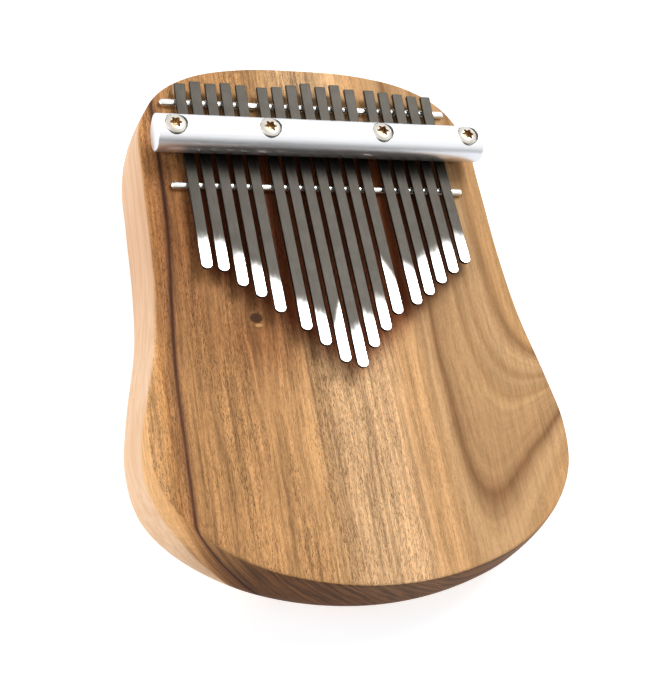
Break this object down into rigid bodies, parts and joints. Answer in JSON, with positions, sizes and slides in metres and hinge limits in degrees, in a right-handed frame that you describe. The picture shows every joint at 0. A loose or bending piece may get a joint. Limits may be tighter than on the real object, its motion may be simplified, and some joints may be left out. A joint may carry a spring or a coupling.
{
  "type": "mbira",
  "caption": "Thumb piano: dark steel tines with polished tips, clamped by a round aluminium bar over two steel bridges on a solid walnut body.",
  "frame": {"origin": "on the flat back, under the middle of the body's bounding box", "axes": "+X across the tines to the player's right, +Y from the thumb end towards the clamp, +Z out of the playing face"},
  "size_m": [0.144, 0.1864, 0.0501],
  "materials": {
    "walnut": "oiled walnut, open pores, one sapwood edge",
    "bar_aluminium": "bright satin, ground along its length",
    "bridge_steel": "polished steel rod",
    "screw_steel": "turned stainless pan head",
    "tine_steel": "dark spring steel, ground bright at the tip"
  },
  "bodies": {
    "instrument": {"wooden_body": "walnut", "front_bridge": "bridge_steel", "rear_bridge": "bridge_steel", "pressure_bar": "bar_aluminium", "bar_screw_1": "screw_steel", "bar_screw_2": "screw_steel", "bar_screw_3": "screw_steel", "bar_screw_4": "screw_steel"},
    "tine_01_clamped": {"tine_01_shank": "tine_steel"},
    "tine_01_free": {"tine_01_blade": "tine_steel"},
    "tine_02_clamped": {"tine_02_shank": "tine_steel"},
    "tine_02_free": {"tine_02_blade": "tine_steel"},
    "tine_03_clamped": {"tine_03_shank": "tine_steel"},
    "tine_03_free": {"tine_03_blade": "tine_steel"},
    "tine_04_clamped": {"tine_04_shank": "tine_steel"},
    "tine_04_free": {"tine_04_blade": "tine_steel"},
    "tine_05_clamped": {"tine_05_shank": "tine_steel"},
    "tine_05_free": {"tine_05_blade": "tine_steel"},
    "tine_06_clamped": {"tine_06_shank": "tine_steel"},
    "tine_06_free": {"tine_06_blade": "tine_steel"},
    "tine_07_clamped": {"tine_07_shank": "tine_steel"},
    "tine_07_free": {"tine_07_blade": "tine_steel"},
    "tine_08_clamped": {"tine_08_shank": "tine_steel"},
    "tine_08_free": {"tine_08_blade": "tine_steel"},
    "tine_09_clamped": {"tine_09_shank": "tine_steel"},
    "tine_09_free": {"tine_09_blade": "tine_steel"},
    "tine_10_clamped": {"tine_10_shank": "tine_steel"},
    "tine_10_free": {"tine_10_blade": "tine_steel"},
    "tine_11_clamped": {"tine_11_shank": "tine_steel"},
    "tine_11_free": {"tine_11_blade": "tine_steel"},
    "tine_12_clamped": {"tine_12_shank": "tine_steel"},
    "tine_12_free": {"tine_12_blade": "tine_steel"},
    "tine_13_clamped": {"tine_13_shank": "tine_steel"},
    "tine_13_free": {"tine_13_blade": "tine_steel"},
    "tine_14_clamped": {"tine_14_shank": "tine_steel"},
    "tine_14_free": {"tine_14_blade": "tine_steel"},
    "tine_15_clamped": {"tine_15_shank": "tine_steel"},
    "tine_15_free": {"tine_15_blade": "tine_steel"},
    "tine_16_clamped": {"tine_16_shank": "tine_steel"},
    "tine_16_free": {"tine_16_blade": "tine_steel"},
    "tine_17_clamped": {"tine_17_shank": "tine_steel"},
    "tine_17_free": {"tine_17_blade": "tine_steel"}
  },
  "joints": [
    {"name": "tine_01_tune", "type": "slide", "parent": "instrument", "child": "tine_01_clamped", "axis": [0, 1, 0], "range_m": [-0.002, 0.002]},
    {"name": "tine_01_flex", "type": "hinge", "parent": "tine_01_clamped", "child": "tine_01_free", "pos_m": [0, 0.04275, 0.03721], "axis": [1, 0, 0], "range_deg": [-2.5, 5], "stiffness_Nm_per_rad": 9.93},
    {"name": "tine_02_tune", "type": "slide", "parent": "instrument", "child": "tine_02_clamped", "axis": [0, 1, 0], "range_m": [-0.002, 0.002]},
    {"name": "tine_02_flex", "type": "hinge", "parent": "tine_02_clamped", "child": "tine_02_free", "pos_m": [0, 0.04275, 0.03721], "axis": [1, 0, 0], "range_deg": [-2.4, 4.9], "stiffness_Nm_per_rad": 9.64},
    {"name": "tine_03_tune", "type": "slide", "parent": "instrument", "child": "tine_03_clamped", "axis": [0, 1, 0], "range_m": [-0.002, 0.002]},
    {"name": "tine_03_flex", "type": "hinge", "parent": "tine_03_clamped", "child": "tine_03_free", "pos_m": [0, 0.04275, 0.03721], "axis": [1, 0, 0], "range_deg": [-2.2, 4.5], "stiffness_Nm_per_rad": 8.3},
    {"name": "tine_04_tune", "type": "slide", "parent": "instrument", "child": "tine_04_clamped", "axis": [0, 1, 0], "range_m": [-0.002, 0.002]},
    {"name": "tine_04_flex", "type": "hinge", "parent": "tine_04_clamped", "child": "tine_04_free", "pos_m": [0, 0.04275, 0.03721], "axis": [1, 0, 0], "range_deg": [-2.1, 4.3], "stiffness_Nm_per_rad": 7.53},
    {"name": "tine_05_tune", "type": "slide", "parent": "instrument", "child": "tine_05_clamped", "axis": [0, 1, 0], "range_m": [-0.002, 0.002]},
    {"name": "tine_05_flex", "type": "hinge", "parent": "tine_05_clamped", "child": "tine_05_free", "pos_m": [0, 0.04275, 0.03721], "axis": [1, 0, 0], "range_deg": [-2, 4.1], "stiffness_Nm_per_rad": 6.69},
    {"name": "tine_06_tune", "type": "slide", "parent": "instrument", "child": "tine_06_clamped", "axis": [0, 1, 0], "range_m": [-0.002, 0.002]},
    {"name": "tine_06_flex", "type": "hinge", "parent": "tine_06_clamped", "child": "tine_06_free", "pos_m": [0, 0.04275, 0.03721], "axis": [1, 0, 0], "range_deg": [-1.9, 3.9], "stiffness_Nm_per_rad": 5.9},
    {"name": "tine_07_tune", "type": "slide", "parent": "instrument", "child": "tine_07_clamped", "axis": [0, 1, 0], "range_m": [-0.002, 0.002]},
    {"name": "tine_07_flex", "type": "hinge", "parent": "tine_07_clamped", "child": "tine_07_free", "pos_m": [0, 0.04275, 0.03721], "axis": [1, 0, 0], "range_deg": [-1.8, 3.7], "stiffness_Nm_per_rad": 5.37},
    {"name": "tine_08_tune", "type": "slide", "parent": "instrument", "child": "tine_08_clamped", "axis": [0, 1, 0], "range_m": [-0.002, 0.002]},
    {"name": "tine_08_flex", "type": "hinge", "parent": "tine_08_clamped", "child": "tine_08_free", "pos_m": [0, 0.04275, 0.03721], "axis": [1, 0, 0], "range_deg": [-1.8, 3.6], "stiffness_Nm_per_rad": 4.89},
    {"name": "tine_09_tune", "type": "slide", "parent": "instrument", "child": "tine_09_clamped", "axis": [0, 1, 0], "range_m": [-0.002, 0.002]},
    {"name": "tine_09_flex", "type": "hinge", "parent": "tine_09_clamped", "child": "tine_09_free", "pos_m": [0, 0.04275, 0.03721], "axis": [1, 0, 0], "range_deg": [-1.7, 3.5], "stiffness_Nm_per_rad": 4.75},
    {"name": "tine_10_tune", "type": "slide", "parent": "instrument", "child": "tine_10_clamped", "axis": [0, 1, 0], "range_m": [-0.002, 0.002]},
    {"name": "tine_10_flex", "type": "hinge", "parent": "tine_10_clamped", "child": "tine_10_free", "pos_m": [0, 0.04275, 0.03721], "axis": [1, 0, 0], "range_deg": [-1.8, 3.7], "stiffness_Nm_per_rad": 5.29},
    {"name": "tine_11_tune", "type": "slide", "parent": "instrument", "child": "tine_11_clamped", "axis": [0, 1, 0], "range_m": [-0.002, 0.002]},
    {"name": "tine_11_flex", "type": "hinge", "parent": "tine_11_clamped", "child": "tine_11_free", "pos_m": [0, 0.04275, 0.03721], "axis": [1, 0, 0], "range_deg": [-1.9, 3.8], "stiffness_Nm_per_rad": 5.85},
    {"name": "tine_12_tune", "type": "slide", "parent": "instrument", "child": "tine_12_clamped", "axis": [0, 1, 0], "range_m": [-0.002, 0.002]},
    {"name": "tine_12_flex", "type": "hinge", "parent": "tine_12_clamped", "child": "tine_12_free", "pos_m": [0, 0.04275, 0.03721], "axis": [1, 0, 0], "range_deg": [-2, 4], "stiffness_Nm_per_rad": 6.55},
    {"name": "tine_13_tune", "type": "slide", "parent": "instrument", "child": "tine_13_clamped", "axis": [0, 1, 0], "range_m": [-0.002, 0.002]},
    {"name": "tine_13_flex", "type": "hinge", "parent": "tine_13_clamped", "child": "tine_13_free", "pos_m": [0, 0.04275, 0.03721], "axis": [1, 0, 0], "range_deg": [-2.1, 4.2], "stiffness_Nm_per_rad": 7.05},
    {"name": "tine_14_tune", "type": "slide", "parent": "instrument", "child": "tine_14_clamped", "axis": [0, 1, 0], "range_m": [-0.002, 0.002]},
    {"name": "tine_14_flex", "type": "hinge", "parent": "tine_14_clamped", "child": "tine_14_free", "pos_m": [0, 0.04275, 0.03721], "axis": [1, 0, 0], "range_deg": [-2.1, 4.3], "stiffness_Nm_per_rad": 7.62},
    {"name": "tine_15_tune", "type": "slide", "parent": "instrument", "child": "tine_15_clamped", "axis": [0, 1, 0], "range_m": [-0.002, 0.002]},
    {"name": "tine_15_flex", "type": "hinge", "parent": "tine_15_clamped", "child": "tine_15_free", "pos_m": [0, 0.04275, 0.03721], "axis": [1, 0, 0], "range_deg": [-2.3, 4.6], "stiffness_Nm_per_rad": 8.51},
    {"name": "tine_16_tune", "type": "slide", "parent": "instrument", "child": "tine_16_clamped", "axis": [0, 1, 0], "range_m": [-0.002, 0.002]},
    {"name": "tine_16_flex", "type": "hinge", "parent": "tine_16_clamped", "child": "tine_16_free", "pos_m": [0, 0.04275, 0.03721], "axis": [1, 0, 0], "range_deg": [-2.4, 4.8], "stiffness_Nm_per_rad": 9.5},
    {"name": "tine_17_tune", "type": "slide", "parent": "instrument", "child": "tine_17_clamped", "axis": [0, 1, 0], "range_m": [-0.002, 0.002]},
    {"name": "tine_17_flex", "type": "hinge", "parent": "tine_17_clamped", "child": "tine_17_free", "pos_m": [0, 0.04275, 0.03721], "axis": [1, 0, 0], "range_deg": [-2.6, 5.2], "stiffness_Nm_per_rad": 10.74}
  ]
}
